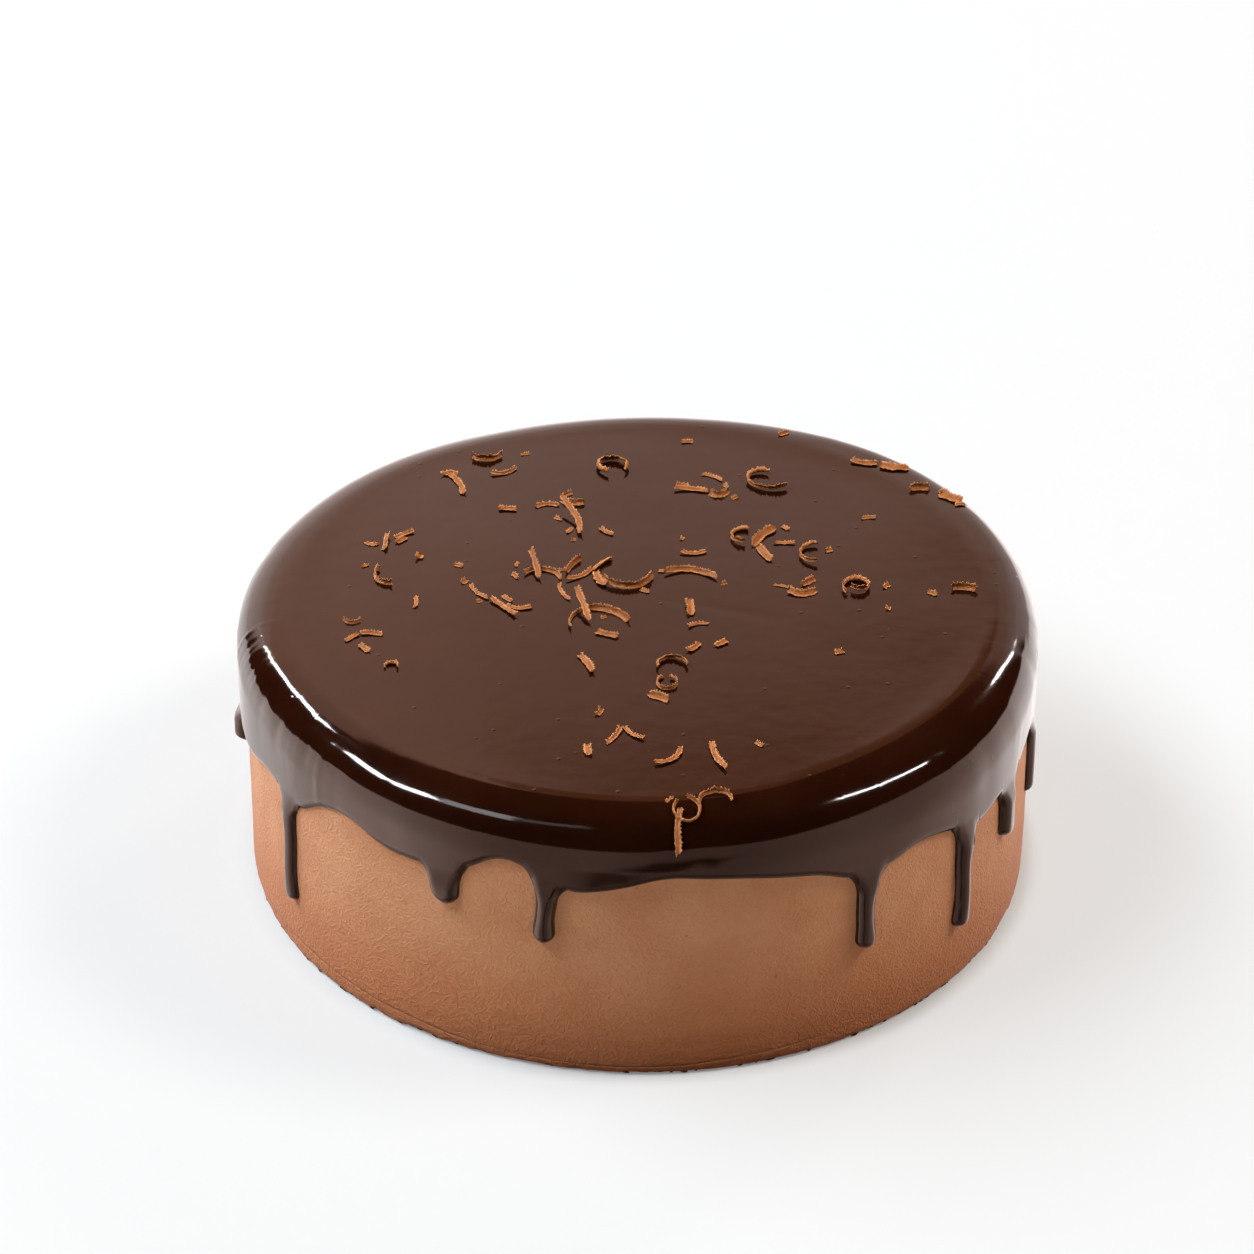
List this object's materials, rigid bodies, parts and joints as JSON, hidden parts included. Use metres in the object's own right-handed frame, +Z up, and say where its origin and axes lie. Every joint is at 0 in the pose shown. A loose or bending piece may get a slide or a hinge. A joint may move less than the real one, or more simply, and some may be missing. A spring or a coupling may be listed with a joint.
{
  "type": "fudge cake",
  "caption": "Round cake in a caramel-brown buttercream coat, under a poured dark fudge glaze that drips down its side, with milk chocolate curls scattered on top.",
  "frame": {"origin": "centre of the cake's flat underside, on the surface it stands on", "axes": "+Z up along the cake's axis, -Y towards the pictured front, +X to the right seen from the front"},
  "size_m": [0.2134, 0.2131, 0.0806],
  "materials": {
    "buttercream": "matte caramel-brown buttercream, scraped smooth with fine pits, short spatula marks and a few dark crumbs",
    "fudge_glaze": "glossy dark brown fudge glaze, with matte milk chocolate curls lying on its top",
    "milk_chocolate": "thin matte orange-brown curls with a fine lengthwise grain and paler edges"
  },
  "bodies": {
    "root": {"cake_body": "buttercream", "fudge_glaze": "fudge_glaze"}
  },
  "joints": []
}
